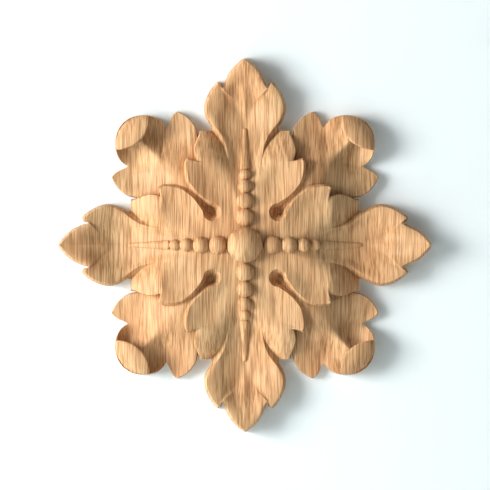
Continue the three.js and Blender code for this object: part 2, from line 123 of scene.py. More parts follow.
# %% Curves
OUTLINE_STEPS = 60  # straight steps from one point of an outline to the next


def track(*pairs):
    """Smooth value through (key, value) pairs: a cubic between neighbours, whose slope at each
    pair is the harmonic mean of the slopes on both sides, and zero at a peak or a dip."""
    keys, values = np.array(pairs, float).T
    slopes = np.diff(values) / np.diff(keys)
    before, after = slopes[:-1], slopes[1:]
    product = before * after
    total = np.where(product > 0, before + after, 1.0)
    tangents = np.concatenate([slopes[:1], np.where(product > 0, 2 * product / total, 0), slopes[-1:]])

    def value(at):
        at = np.clip(at, keys[0], keys[-1])
        i = np.clip(np.searchsorted(keys, at, side="right") - 1, 0, len(keys) - 2)
        span = keys[i + 1] - keys[i]
        t = (at - keys[i]) / span
        rise = t * t * (3 - 2 * t)
        bend = span * t * (1 - t) * ((1 - t) * tangents[i] - t * tangents[i + 1])
        return values[i] * (1 - rise) + values[i + 1] * rise + bend

    return value


def outline(points):
    """Round line through points, a Catmull-Rom curve: between two points it leaves and arrives
    along the line between their neighbours. Takes shares of its length, gives millimetres."""
    p = np.array(points, float)
    near = np.vstack([p[:1], p, p[-1:]])
    t = np.linspace(0, len(p) - 1, OUTLINE_STEPS * (len(p) - 1) + 1)
    i = np.minimum(t.astype(int), len(p) - 2)
    w = (t - i)[:, None]
    a, b, c, d = near[i], near[i + 1], near[i + 2], near[i + 3]
    square, cube = 2 * a - 5 * b + 4 * c - d, 3 * b - a - 3 * c + d
    dense = 0.5 * (2 * b + (c - a) * w + square * w**2 + cube * w**3)
    steps = np.linalg.norm(np.diff(dense, axis=0), axis=1)
    walked = np.concatenate([[0], np.cumsum(steps)])

    def place(share):
        at = np.clip(share, 0, 1) * walked[-1]
        return np.stack([np.interp(at, walked, dense[:, 0]), np.interp(at, walked, dense[:, 1])], -1) * PLAN

    return place


def in_spans(rows, spans):
    """Plan line made of spans (first row, last row, line), each walked from its start to its end."""
    line = np.empty(rows.shape + (2,))
    for first, last, curve in spans:
        inside = (rows >= first) & (rows <= last)
        line[inside] = curve((rows[inside] - first) / (last - first))
    return line


def from_diagonal(along, across):
    """Plan point given along and across the diagonal: the same point turned by 45 degrees."""
    return np.stack([along - across, along + across], -1) * DIAGONAL


def mix(a, b, share):
    """The value the given share of the way from a to b."""
    return a + (b - a) * share


def hump(share):
    """A round hump: 0 at both ends, 1 half way, level at all three, as sine squared."""
    return np.sin(np.pi * np.clip(share, 0, 1)) ** 2


print("a track half way between 0 and 1:", float(track((0, 0), (1, 1))(np.array(0.5))))

# %% [markdown]
# ## Skins
#
# A surface is a grid of points. Its cells are cut along their shorter diagonal, all grids of a
# closed form are welded by distance, and cells that shrank to a line or a point fall out.

# %% Skins


def skin(grid, flip=False):
    """Triangles over a grid of points, two to a cell, cut along the shorter diagonal."""
    a, b, c, d = grid[:-1, :-1], grid[:-1, 1:], grid[1:, 1:], grid[1:, :-1]
    short = (np.linalg.norm(a - c, axis=-1) < np.linalg.norm(b - d, axis=-1))[..., None]
    first = np.stack([a, b, np.where(short, c, d)], -2)
    second = np.stack([np.where(short, a, b), c, d], -2)
    triangles = np.concatenate([first.reshape(-1, 3, 3), second.reshape(-1, 3, 3)])
    return triangles[:, ::-1] if flip else triangles


def mirrored(triangles):
    """The same triangles left to right, turned over so that they still face out."""
    return (triangles * [-1, 1, 1])[:, ::-1]


def turned(triangles, degrees):
    """The triangles turned about the middle of the rosette."""
    angle = np.radians(degrees)
    c, s = np.round(np.cos(angle), 12), np.round(np.sin(angle), 12)
    return triangles @ np.array([[c, s, 0], [-s, c, 0], [0, 0, 1]])


def four_times(triangles, start=0):
    """The triangles and their copies at every quarter turn."""
    return np.concatenate([turned(triangles, start + 90 * k) for k in range(4)])


def closed_object(name, triangles):
    """Object from loose triangles: corners within a ten-thousandth of a millimetre are one."""
    corners, index = np.unique(np.round(triangles.reshape(-1, 3), 4), axis=0, return_inverse=True)
    faces = index.reshape(-1, 3)
    good = (faces[:, 0] != faces[:, 1]) & (faces[:, 1] != faces[:, 2]) & (faces[:, 2] != faces[:, 0])
    faces = faces[good]
    upright = np.stack([corners[:, 0], -corners[:, 2], corners[:, 1]], -1) * MM
    mesh = bpy.data.meshes.new(name)
    mesh.vertices.add(len(upright))
    mesh.vertices.foreach_set("co", upright.ravel())
    mesh.loops.add(faces.size)
    mesh.loops.foreach_set("vertex_index", faces.ravel())
    mesh.polygons.add(len(faces))
    mesh.polygons.foreach_set("loop_start", np.arange(0, faces.size, 3))
    mesh.update(calc_edges=True)
    piece = bpy.data.objects.new(name, mesh)
    bpy.context.collection.objects.link(piece)
    share = round(len(mesh.edges) / len(faces), 4)
    print(name, len(faces), "triangles,", share, "edges to each, which is 1.5 in a closed form")
    return piece


# %% [markdown]
# ## Plan of an upright leaf
#
# Half a leaf has an inner part, from the midrib out to a crest and on to the upper lobe and the
# tip, and a lower lobe, from the crest out to the seam with the next leaf, the eye, the channel
# and two teeth. Above the crevice the lower lobe tucks in behind the upper one.

# %% Plan of an upright leaf
crest_line = outline([[0, 0], [2.7, 12.9], [4.8, 22.5], [7.0, 30.6], [8.6, 38.6], [9.1, 45.6]])
tuck_line = outline([[9.1, 45.6], [9.5, 49.3], [10.3, 53.1], [11.6, 56.6], [13.4, 59.9], [16.1, 63.4]])
lobe_line = outline(
    [[16.1, 63.4], [18.4, 66.5], [19.9, 70.0], [20.4, 73.5], [19.4, 77.8], [17.1, 82.2], [14.3, 85.9]]
)
notch_line = outline([[14.3, 85.9], [13.1, 84.8], [12.0, 83.3]])
tip_line = outline(
    [[12.0, 83.3], [10.4, 85.2], [8.9, 88.1], [7.1, 91.7], [4.7, 94.6], [2.2, 96.9], [0, 98.5]]
)
tuck_foot_line = outline([[9.1, 45.6], [10.7, 50.8], [12.6, 54.6], [15.0, 57.6], [18.2, 61.0]])
channel_points = [
    [28.1, 3.4], [31.5, 2.6], [34.7, 2.1], [38.3, 1.9], [41.3, 2.25], [44.6, 2.8],
    [47.2, 4.2], [50.2, 6.3], [53.1, 9.1], [53.8, 10.6],
]
channel_line = outline(from_diagonal(*np.array(channel_points).T))
back_notch_line = outline([[30.45, 45.55], [27.9, 45.1], [25.7, 44.9]])
wing_line = outline(
    [[25.7, 44.9], [26.5, 47.6], [26.8, 50.2], [26.3, 52.9], [24.9, 56.7], [23.9, 59.1], [23.8, 61.0]]
)
crest_share = track(
    (0, 0), (EYE, 0.3), (CHANNEL, 0.6), (BACK_TOOTH, 0.82), (BACK_NOTCH, 0.93), (CREVICE, 1)
)

EYE_RADIUS = 3.6
EYE_ALONG = 24.7  # place of its middle on the diagonal, in hundredths of the reach
EYE_TURN = 0.76 * np.pi  # how far the rim goes round on one side, before the channel opens


def eye_rim(share):
    """Rim of the drilled eye: a circle on the diagonal, walked from its inner side outwards."""
    turn = np.pi - share * EYE_TURN
    radius = EYE_RADIUS / PLAN
    return from_diagonal(EYE_ALONG + radius * np.cos(turn), radius * np.sin(turn)) * PLAN


def blade_edge(rows):
    """Inner line of the outer half: the crest, then the edge of the upper lobe and the tip."""
    return in_spans(
        rows,
        [
            (0, CREVICE, lambda share: crest_line(crest_share(share * CREVICE))),
            (CREVICE, JOIN, tuck_line),
            (JOIN, TOOTH, lobe_line),
            (TOOTH, NOTCH, notch_line),
            (NOTCH, TIP, tip_line),
        ],
    )


def wing_edge(rows):
    """Outer line of the lower lobe: seam, rim of the eye, channel, and two teeth."""
    seam_end = eye_rim(np.zeros(1))
    return in_spans(
        rows,
        [
            (0, EYE, lambda share: seam_end * share[:, None]),
            (EYE, CHANNEL, eye_rim),
            (CHANNEL, BACK_TOOTH, channel_line),
            (BACK_TOOTH, BACK_NOTCH, back_notch_line),
            (BACK_NOTCH, JOIN, wing_line),
        ],
    )


# %% [markdown]
# ## Relief of an upright leaf
#
# Each row of the leaf slants out and up like a vein. Along a row the height runs from the midrib
# to the rim, and a hump taken away makes the hollow between them. How high and how deep changes
# from row to row, as tracks.

# %% Relief of an upright leaf
midrib_place = track(
    (0, 0), (EYE, 12.9), (CHANNEL, 25.7), (BACK_TOOTH, 34.3), (BACK_NOTCH, 38), (CREVICE, 40.2),
    (JOIN, 52.5), (TOOTH, 63.3), (NOTCH, 71.8), (TIP, 100),
)
midrib_height = track(
    (0, 97), (20, 96), (27, 93), (33, 86), (40, 70), (47, 51), (54, 34), (60, 23.5), (63, 20), (66, 19),
    (69, 20.5), (73, 27.5), (78, 40), (83, 52), (88, 62), (93, 70), (100, 79),
)
MID_LOBE, MID_TIP, MID_TUCK = (JOIN + TOOTH) / 2, (NOTCH + TIP) / 2, (CREVICE + JOIN) / 2
MID_EYE, MID_CHANNEL = (EYE + CHANNEL) / 2, (CHANNEL + BACK_TOOTH) / 2
blade_rim = track(
    (0, 97), (EYE, 97), (CHANNEL, 96), (BACK_TOOTH, 86), (BACK_NOTCH, 76), (CREVICE, 68), (MID_TUCK, 50),
    (JOIN, 45), (MID_LOBE, 55), (TOOTH, 65), (NOTCH, 65), (MID_TIP, 67), (TIP, 79),
)
blade_notch = track((TOOTH, 0), (NOTCH, 1.5), (MID_TIP, 1), (TIP, 0))
blade_hollow = track(
    (EYE, 0), (CHANNEL, 1), (BACK_TOOTH, 5), (CREVICE, 7), (JOIN, 6), (MID_LOBE, 10), (TOOTH, 12),
    (NOTCH, 10), (MID_TIP, 0), (TIP, 0),
)
wing_rim = track(
    (0, 97), (EYE, 98), (MID_EYE, 101), (CHANNEL, 104), (MID_CHANNEL, 107), (BACK_TOOTH, 107),
    (BACK_NOTCH, 103), (CREVICE, 94), (MID_TUCK, 68), (JOIN, 42),
)
wing_notch = track((BACK_TOOTH, 0), (BACK_NOTCH, 10), (CREVICE, 7), (MID_TUCK, 1), (JOIN, 0))
wing_hollow = track(
    (0, 0), (EYE, 0), (CHANNEL, 2), (MID_CHANNEL, 4), (BACK_TOOTH, 4), (BACK_NOTCH, 2), (CREVICE, 0),
    (JOIN, 0),
)
wing_fullness = track((MID_CHANNEL, 0), (BACK_TOOTH, 0.4), (BACK_NOTCH, 0.75), (CREVICE, 1), (JOIN, 1))
tuck_drop = track((CREVICE, 0), (CREVICE + 1, 0.1), (MID_TUCK, 0.4), (JOIN, 1))
TUCK_DEPTH = 3.4  # how far the lower lobe lies under the upper one at the foot of the tuck
STEP_POWER = 8  # a high power keeps the dip of a notch close to the rim


def blade_surface(rows, shares):
    """Grid from the midrib to the inner line. Height: midrib to rim as a sine squared, less a hump."""
    place = midrib_place(rows)
    middle = np.stack([np.zeros_like(place), place * PLAN], -1)
    plan = mix(middle[:, None], blade_edge(rows)[:, None], shares[:, None])
    rib, rim = midrib_height(place)[:, None], blade_rim(rows)[:, None]
    height = mix(rib, rim, np.sin(np.pi / 2 * shares) ** 2) - blade_hollow(rows)[:, None] * hump(shares)
    height = height - blade_notch(rows)[:, None] * shares**STEP_POWER
    return np.dstack([plan, height * RISE])


def wing_surface(rows, shares):
    """Grid from the crest, or the foot of the tuck, to the outer line. Height: inner to rim, along a
    square where the lobe is a bowl and along one less a cube where it is full, less a hump."""
    tucked = np.clip((rows - CREVICE) / (JOIN - CREVICE), 0, 1)
    inner = np.where((rows <= CREVICE)[:, None], blade_edge(rows), tuck_foot_line(tucked))
    start = blade_rim(rows) - TUCK_DEPTH / RISE * tuck_drop(rows)
    plan = mix(inner[:, None], wing_edge(rows)[:, None], shares[:, None])
    rise = mix(shares**2, 1 - (1 - shares) ** 3, wing_fullness(rows)[:, None])
    height = mix(start[:, None], wing_rim(rows)[:, None], rise)
    height = height - wing_hollow(rows)[:, None] * hump(shares)
    height = height - wing_notch(rows)[:, None] * shares**STEP_POWER
    return np.dstack([plan, height * RISE])


# %% [markdown]
# ## Walls
#
# The outline is cut down to the back with walls that lean out a little. They are softly rounded
# off the edge, and stand upright in a notch, where two walls meet.

# %% Walls
blade_slope = track(
    (JOIN, 1.3), (MID_LOBE, 1.4), (TOOTH, 1.5), (NOTCH, 0), (NOTCH + 1, 1.2), (MID_TIP, 1.35), (TIP, 1.4)
)
EYE_DEPTH, EYE_SLOPE = 5.2, 2.1
EYE_SINK = 0.6  # how much deeper the wall of an eye goes, so that the small leaf makes its floor
EYE_SHIFT = 1.3  # how far the foot of that wall is moved outwards along the diagonal
EYE_DROP = (EYE_DEPTH + EYE_SINK) / RISE
eye_shift = track(
    (EYE, EYE_SHIFT), (CHANNEL - 1, EYE_SHIFT), (CHANNEL, 1.1), (CHANNEL + 1, 0.2), (MID_CHANNEL, 0)
)
GROOVE = 0.15  # half of the least width at the foot of the channel
wing_slope = track(
    (EYE, EYE_SLOPE / PLAN), (MID_EYE, EYE_SLOPE / PLAN), (CHANNEL - 1, 3.2), (CHANNEL, 2.7),
    (MID_CHANNEL, 1.9), (BACK_TOOTH, 0.9), (BACK_NOTCH, 0), (MID_TUCK, 0.8), (JOIN, 0.7),
)
wing_drop = track(
    (EYE, EYE_DROP), (CHANNEL - 1, EYE_DROP), (CHANNEL, 34), (CHANNEL + 1, 25), (MID_CHANNEL, 20),
    (BACK_TOOTH, 20), (BACK_NOTCH, 26), (CREVICE, 38), (MID_TUCK, 32), (JOIN, 20),
)
TUCK_ROUND = 0.8
blade_round = track((JOIN, TUCK_ROUND), (JOIN + 1, 1.1))
wing_round = track((EYE, 1.1), (BACK_TOOTH, 1.2), (BACK_NOTCH, 1.5))
KNEE = 0.5  # height of the knee at the outline, as a share of the edge above it
FOOT_SPREAD = 1.25  # how far out the foot lies, where the knee lies at 1
WALL_STEPS = 5


def outward(line, first=None, last=None):
    """Unit direction square to a line of points, to its right, in plan."""
    along = np.gradient(line[:, :2], axis=0)
    side = np.stack([along[:, 1], -along[:, 0]], -1)
    side = side / np.linalg.norm(side, axis=-1, keepdims=True)
    if first is not None:
        side[0] = first
    if last is not None:
        side[-1] = last
    return side


def knee_of(edge, side, slope, height):
    """Knee of a wall beside its edge: out by the slope, and at the given height."""
    return np.column_stack([edge[:, :2] + side * (slope * PLAN)[:, None], height])


def lowered(points):
    """The same plan at the buried level under the back."""
    return np.concatenate([points[..., :2], np.full(points.shape[:-1] + (1,), -BURY)], -1)


def rounded_drop(edge, knee, roundness=1.5):
    """Rows from an edge to the knee. Above a roundness of 1 it goes first mostly out and then
    mostly down, as a soft round; below 1 the other way, as a hollow."""
    t = np.linspace(0, 1, WALL_STEPS + 1)[:, None, None]
    power = np.broadcast_to(roundness, len(edge))[None, :, None]
    out, down = 1 - (1 - t) ** power, t ** ((power + 1) / 2)
    plan = mix(edge[None, :, :2], knee[None, :, :2], out)
    height = mix(edge[None, :, 2:], knee[None, :, 2:], down)
    return np.concatenate([plan, height], -1)


def wall(edge, knee, foot, roundness=1.5):
    """Grid from an edge over the knee to the foot."""
    return np.concatenate([rounded_drop(edge, knee, roundness), foot[None]])


# %% [markdown]
# ## The upright leaves
#
# Half a leaf is built from its two surfaces, the little wall of the tuck between them, the outer
# walls and an underside. Mirrored and turned by quarters it closes, with no seam left open.

# %% The upright leaves
ROW_STEPS = 5
BLADE_STRIPS, WING_STRIPS = 22, 18


def half_leaf():
    """Triangles of half an upright leaf, open only on its midrib and on the seam."""
    rows = np.arange(TIP * ROW_STEPS + 1) / ROW_STEPS
    blade = blade_surface(rows, np.linspace(0, 1, BLADE_STRIPS + 1))
    low_rows = rows[: JOIN * ROW_STEPS + 1]
    wing = wing_surface(low_rows, np.linspace(0, 1, WING_STRIPS + 1))
    crevice, join, eye = CREVICE * ROW_STEPS, JOIN * ROW_STEPS, EYE * ROW_STEPS

    tuck = rounded_drop(blade[crevice : join + 1, -1], wing[crevice : join + 1, 0], TUCK_ROUND)
    lobe = blade[join:, -1]
    lobe_knee = knee_of(lobe, outward(lobe, last=[0, 1]), blade_slope(rows[join:]), lobe[:, 2] * KNEE)
    lobe_foot = lowered(mix(lobe, lobe_knee, FOOT_SPREAD))
    lobe_knee[0] = wing[join, 0]
    lobe_foot[0] = lowered(wing[join, 0])

    outer = wing[eye:, -1]
    outer_rows = low_rows[eye:]
    outer_side = outward(outer, first=[DIAGONAL, DIAGONAL])
    outer_low = outer[:, 2] - wing_drop(outer_rows) * RISE
    outer_knee = knee_of(outer, outer_side, wing_slope(outer_rows), outer_low)
    outer_knee[:, :2] += eye_shift(outer_rows)[:, None] * DIAGONAL
    across = (outer_knee[1:, 1] - outer_knee[1:, 0]) * DIAGONAL
    outer_knee[1:, :2] += (np.maximum(across, GROOVE) - across)[:, None] * np.array([-1, 1]) * DIAGONAL
    crown = wing[join]
    share = np.linspace(0, 1, WING_STRIPS + 1)[:, None]
    crown_knee = crown + (outer_knee[-1] - crown[-1]) * share
    crown_knee[:, 2:] = mix(crown[0, 2], outer_knee[-1, 2], share)

    blade_under, wing_under, tuck_under = lowered(blade), lowered(wing), lowered(tuck)
    blade_under[join:, -1] = lobe_foot
    wing_under[eye:, -1] = lowered(outer_knee)
    wing_under[-1] = lowered(crown_knee)
    tuck_under[:, -1] = lobe_foot[0]

    return np.concatenate(
        [
            skin(blade),
            skin(tuck, flip=True),
            skin(wing),
            skin(wall(lobe, lobe_knee, lobe_foot, blade_round(rows[join:])), flip=True),
            skin(wall(outer, outer_knee, lowered(outer_knee), wing_round(outer_rows)), flip=True),
            skin(wall(crown, crown_knee, lowered(crown_knee))),
            skin(blade_under, flip=True),
            skin(tuck_under),
            skin(wing_under, flip=True),
        ]
    )


half = half_leaf()
leaves = closed_object("leaves", four_times(np.concatenate([half, mirrored(half)])))

# %% [markdown]
# ## A small leaf
#
# The small leaves lie lower, under the lower lobes of the upright ones. Each has a sharp midrib,
# deep hollows beside it, and side lobes that cup up towards their rims.

# %% A small leaf
rolled_end = [[13.7, 82.8], [11.3, 86.3], [8.0, 89.2], [4.3, 91.2], [0, 92.0]]
root_line = outline([[2.1, 16.1], [8.0, 32.2], [17.2, 48.3], [22.2, 58.1], [24.9, 62.2]])
side_lobe_line = outline([[24.9, 62.2], [25.9, 65.4], [26.2, 68.6], [25.9, 71.8], [24.6, 75.9]])
side_notch_line = outline([[24.6, 75.9], [22.2, 76.1], [19.4, 75.5], [16.1, 74.4], [14.5, 74.2]])
end_line = outline([[14.5, 74.2], [15.0, 76.4], [14.9, 79.6], *rolled_end])

EYE_FLOOR = float(wing_rim(EYE)) - EYE_DEPTH / RISE
small_place = track((0, 16), (SIDE_LOBE, 46), (SIDE_TIP, 57), (SIDE_NOTCH, 64), (END, 92))
small_rib = track(
    (16, EYE_FLOOR), (26, EYE_FLOOR), (32, 82), (35, 87), (40, 90), (48, 89), (52, 85), (56, 78),
    (60, 69), (65, 59), (70, 53), (74, 53), (79, 58), (86, 52), (92, 42),
)
small_rim = track(
    (0, EYE_FLOOR), (SIDE_LOBE, 37), (SIDE_TIP, 24), (SIDE_NOTCH, 17),
    (SIDE_NOTCH + 1, 34), (SIDE_NOTCH + 2, 52), (SIDE_NOTCH + 3, 56), (END, 50),
)
small_hollow = track(
    (0, 0), (SIDE_LOBE / 2, 4), (SIDE_LOBE, 20), (SIDE_TIP, 32), (SIDE_NOTCH, 25),
    (SIDE_NOTCH + 1, 29), (SIDE_NOTCH + 2, 29), (SIDE_NOTCH + 3, 22), (END, 0),
)
SMALL_WALL_SLOPE = 0.6
SOFT_RIB = 0.12  # share of the way to the rim over which the midrib is rounded
NOTCH_REACH = 2  # rows on each side of the notch over which its walls turn upright
SMALL_STRIPS = 22


def small_edge(rows):
    """Outline of half a small leaf that points up."""
    return in_spans(
        rows,
        [
            (0, SIDE_LOBE, root_line),
            (SIDE_LOBE, SIDE_TIP, side_lobe_line),
            (SIDE_TIP, SIDE_NOTCH, side_notch_line),
            (SIDE_NOTCH, END, end_line),
        ],
    )


def small_surface(rows, shares):
    """Grid from the midrib to the outline. Height: midrib to rim as a square, less a sine, which
    keeps the midrib sharp but for a little rounding: a hyperbola in place of the share."""
    place = small_place(rows)
    middle = np.stack([np.zeros_like(place), place * PLAN], -1)
    plan = mix(middle[:, None], small_edge(rows)[:, None], shares[:, None])
    height = mix(small_rib(place)[:, None], small_rim(rows)[:, None], shares**2)
    soft = (np.hypot(shares, SOFT_RIB) - SOFT_RIB) / (np.hypot(1, SOFT_RIB) - SOFT_RIB)
    return np.dstack([plan, (height - small_hollow(rows)[:, None] * np.sin(np.pi * soft)) * RISE])


def small_half():
    """Triangles of half a small leaf, open only on its midrib."""
    rows = np.arange(END * ROW_STEPS + 1) / ROW_STEPS
    top = small_surface(rows, np.linspace(0, 1, SMALL_STRIPS + 1))
    edge = top[:, -1]
    near_notch = np.clip(np.abs(rows - SIDE_NOTCH) / NOTCH_REACH, 0, 1)
    near_notch[0] = 0
    foot = lowered(edge)
    foot[:, :2] += outward(edge, last=[0, 1]) * (SMALL_WALL_SLOPE * near_notch)[:, None]
    under = lowered(top)
    under[:, -1] = foot
    front = np.stack([top[0], under[0]])
    return np.concatenate(
        [skin(top), skin(np.stack([edge, foot]), flip=True), skin(front, flip=True), skin(under, flip=True)]
    )


# %% [markdown]
# ## The rolled tip
#
# The tip of a small leaf rolls up and back over the leaf. Slices across the roll are hooks: up
# the outside, over the top and down to a free edge, then back along the hollow inside. The edge
# bows towards the outline on both sides and ends in it.

# %% The rolled tip
CURL_HALF_WIDTH = 12.7
CURL_END_SHARE = 0.96
LIP_PLACE, LIP_BOW = 78.8, 5.5
CURL_RISE, CURL_LIP, CURL_END_RISE, CURL_END_LIP = 11.5, 10.8, 7.6, 7.4
CURL_WALL, LIP_THICKNESS = 2.6, 1.3
CURL_CREST_SHARE, CURL_ROUND_SHARE = 0.1, 0.65
CURL_STEPS, CURL_RINGS = 40, 9
curl_outline = track(*rolled_end[::-1])


def curl_edge(across):
    """Place of the rolled edge along the leaf: a parabola across it."""
    return LIP_PLACE + LIP_BOW * (across / CURL_HALF_WIDTH) ** 2


def curl_slices():
    """Grids of outer and inner lines of the hook, one row for each slice across the tip."""
    side = np.sin((np.linspace(0, 1, CURL_STEPS + 1) - 0.5) * np.pi)
    across = side * CURL_HALF_WIDTH * CURL_END_SHARE
    fade = np.sqrt(1 - (across / CURL_HALF_WIDTH) ** 2)
    outside, lip = curl_outline(np.abs(across)) * PLAN, curl_edge(across) * PLAN
    roll = outside - lip
    full = (curl_outline(0.0) - curl_edge(0.0)) * PLAN
    top, lip_height = mix(CURL_END_RISE, CURL_RISE, fade), mix(CURL_END_LIP, CURL_LIP, fade)
    crest, shoulder = lip + roll * CURL_CREST_SHARE, top - roll * CURL_ROUND_SHARE
    inside = outside - CURL_WALL * roll / full
    up = np.linspace(0, np.pi / 2, CURL_RINGS + 1)[:, None]
    back = up[1:]

    def line(start, thickness):
        along = np.concatenate([start[None], mix(crest, start, np.cos(up)), mix(crest, lip, np.sin(back))])
        height = np.concatenate(
            [
                np.full((1, len(side)), -BURY),
                mix(shoulder, top - thickness, np.sin(up)),
                mix(lip_height, top, np.cos(back)) - thickness,
            ]
        )
        return np.stack([np.broadcast_to(across * PLAN, along.shape), along, height], -1).swapaxes(0, 1)

    return line(outside, 0), line(inside, LIP_THICKNESS)


def curl():
    """Triangles of the whole rolled tip: the loops over the slices and a cap at each end."""
    outer, inner = curl_slices()
    loops = np.concatenate([outer, inner[:, ::-1], outer[:, :1]], axis=1)
    caps = [skin(np.stack([outer[0], inner[0]]), flip=True), skin(np.stack([outer[-1], inner[-1]]))]
    return np.concatenate([skin(loops), *caps])


half = small_half()
small_leaf = np.concatenate([half, mirrored(half)])
small_leaves = [closed_object(f"small_leaf_{k}", turned(small_leaf, 45 + 90 * k)) for k in range(4)]
curls = [closed_object(f"rolled_tip_{k}", turned(curl(), 45 + 90 * k)) for k in range(4)]

# %% [markdown]
# ## Ball, beads and spikes
#
# A ball is a grid of turns around and steps from pole to pole. The spike is a round bar whose
# width and height shrink along it, with a blunt rounded end.

# %% Ball, beads and spikes
BALL_RADIUS = 7.1
BEAD_RADII = [3.7, 3.3, 2.75, 2.25]
BEAD_LIFT, BEAD_OVERLAP, BALL_GAP = 0.4, 0.3, 0.1
SPIKE_GAP, SPIKE_LENGTH, SPIKE_SINK, SPIKE_ROUND = -0.25, 16.9, 1.5, 0.9
SPIKE_HALF_WIDTHS, SPIKE_HEIGHTS = (1.95, 0.95), (1.7, 1.0)
BALL_SIDES, BEAD_SIDES = 64, 36
SPIKE_SIDES, SPIKE_STEPS, SPIKE_END_STEPS = 28, 32, 8


def ball(radius, along, height, sides):
    """Sphere that faces out: cosine and sine of the turn around, sine and cosine of the way down."""
    around = np.linspace(0, 2 * np.pi, sides + 1)
    around[-1] = 0
    down = np.linspace(0, np.pi, sides // 2 + 1)[:, None]
    ring = np.sin(down) * radius
    ring[0] = ring[-1] = 0
    level = height + radius * np.cos(down)
    grid = np.broadcast_arrays(ring * np.cos(around), along + ring * np.sin(around), level)
    return skin(np.stack(grid, -1), flip=True)


def spike(start):
    """Bar on the midrib: half an ellipse above the leaf, another below, round at both ends."""
    zeros, ones = np.zeros(SPIKE_END_STEPS), np.ones(SPIKE_END_STEPS)
    share = np.concatenate([zeros, np.linspace(0, 1, SPIKE_STEPS + 1), ones])[:, None]
    growing = np.sin(np.linspace(0, np.pi / 2, SPIKE_END_STEPS + 1)[:-1])
    shrink = np.concatenate([growing, np.ones(SPIKE_STEPS + 1), growing[::-1]])[:, None]
    end = SPIKE_HALF_WIDTHS[1]
    along = mix(start + SPIKE_ROUND, start + SPIKE_LENGTH - end, share)
    along = along + np.sqrt(1 - shrink**2) * mix(-SPIKE_ROUND, end, share)
    around = np.linspace(0, 2 * np.pi, SPIKE_SIDES + 1)
    around[-1] = 0
    level = midrib_height(along / PLAN) * RISE
    width = mix(*SPIKE_HALF_WIDTHS, share) * shrink
    up = np.sin(around)
    tall = np.where(up > 0, mix(*SPIKE_HEIGHTS, share) * shrink, SPIKE_SINK * shrink)
    grid = np.broadcast_arrays(width * np.cos(around), along, level + up * tall)
    return skin(np.stack(grid, -1), flip=True)


def bead_string():
    """Beads from the ball outwards, then the spike."""
    pieces, end = [], BALL_RADIUS + BALL_GAP + BEAD_OVERLAP
    for radius in BEAD_RADII:
        middle = end - BEAD_OVERLAP + radius
        level = float(midrib_height(middle / PLAN)) * RISE
        pieces.append(ball(radius, middle, level + BEAD_LIFT, BEAD_SIDES))
        end = middle + radius
    return pieces + [spike(end + SPIKE_GAP)]


middle_ball = closed_object("ball", ball(BALL_RADIUS, 0, THICKNESS - BALL_RADIUS, BALL_SIDES))
strings = [
    closed_object(f"string_{k}_{n}", turned(piece, 90 * k))
    for k in range(4)
    for n, piece in enumerate(bead_string())
]

# %% [markdown]
# ## One piece of wood
#
# Nothing on the real rosette is glued on, so the forms are joined into one skin with a Boolean
# modifier. Its solver for closed meshes is fast and exact enough, if every form is closed and faces
# out. A second one cuts the back flat.


# %% One piece of wood
def applied(piece, name):
    """A new object with the modifiers of a piece worked into its mesh."""
    mesh = bpy.data.meshes.new_from_object(piece.evaluated_get(bpy.context.evaluated_depsgraph_get()))
    made = bpy.data.objects.new(name, mesh)
    bpy.context.collection.objects.link(made)
    return made


parts = bpy.data.collections.new("parts")
for piece in [*small_leaves, *curls, middle_ball, *strings]:
    parts.objects.link(piece)
join = leaves.modifiers.new("join", "BOOLEAN")
join.operation = "UNION"
join.solver = "MANIFOLD"
join.operand_type = "COLLECTION"
join.collection = parts

box = np.array([[x, y, z] for x in (-1, 1) for y in (-1, 1) for z in (0, -1)]) * 2 * REACH
box_faces = [(2, 3, 1, 0), (5, 7, 6, 4), (1, 5, 4, 0), (6, 7, 3, 2), (4, 6, 2, 0), (3, 7, 5, 1)]
box_mesh = bpy.data.meshes.new("below")
box_mesh.from_pydata((box[:, [0, 2, 1]] * [1, -1, 1] * MM).tolist(), [], box_faces)
below = bpy.data.objects.new("below", box_mesh)
bpy.context.collection.objects.link(below)
cut = leaves.modifiers.new("cut", "BOOLEAN")
cut.operation = "DIFFERENCE"
cut.solver = "MANIFOLD"
cut.object = below

rosette = applied(leaves, "rosette")
for piece in [leaves, below, *parts.objects[:]]:
    bpy.data.objects.remove(piece)
print("rosette", len(rosette.data.polygons), "faces", len(rosette.data.vertices), "vertices")

# %% [markdown]
# ## Edges
#
# A gouge leaves smooth hollows that meet in crisp corners. Every face shades smoothly, and an edge
# is marked sharp where its two faces turn away from each other by more than a set angle. The
# angle comes from the face normals of the joined skin, all edges at once.

# %% Edges
CRISP_ANGLE = 40


def mark_sharp(piece, degrees):
    """Marks edges as sharp where the dot product of their two face normals is under the cosine."""
    mesh = piece.data
    normals = np.empty(len(mesh.polygons) * 3)
    mesh.polygons.foreach_get("normal", normals)
    normals = normals.reshape(-1, 3)
    sizes = np.empty(len(mesh.polygons), int)
    mesh.polygons.foreach_get("loop_total", sizes)
    edges = np.empty(len(mesh.loops), int)
    mesh.loops.foreach_get("edge_index", edges)
    pair = np.repeat(np.arange(len(sizes)), sizes)[np.argsort(edges, kind="stable")].reshape(-1, 2)
    sharp = (normals[pair[:, 0]] * normals[pair[:, 1]]).sum(axis=1) < np.cos(np.radians(degrees))
    mesh.attributes.new("sharp_edge", "BOOLEAN", "EDGE").data.foreach_set("value", sharp)
    mesh.polygons.foreach_set("use_smooth", np.ones(len(sizes), bool))
    print(int(sharp.sum()), "sharp edges of", len(sharp))


mark_sharp(rosette, CRISP_ANGLE)

# %% [markdown]
# ## Bare wood
#
# The real wood is pale and bare, with upright grain: growth rings that bend where the carving cuts
# across them, fine fibres, and short dark pores. A picture laid on the surface could not do that,
# so the pattern is worked out in the solid block, in millimetres. The board is cut so that its
# layers stand nearly square to the face: everything is drawn out along the grain and, nearly as
# much, in depth. The rings are distances from a pith far to one side, read as uneven bands.

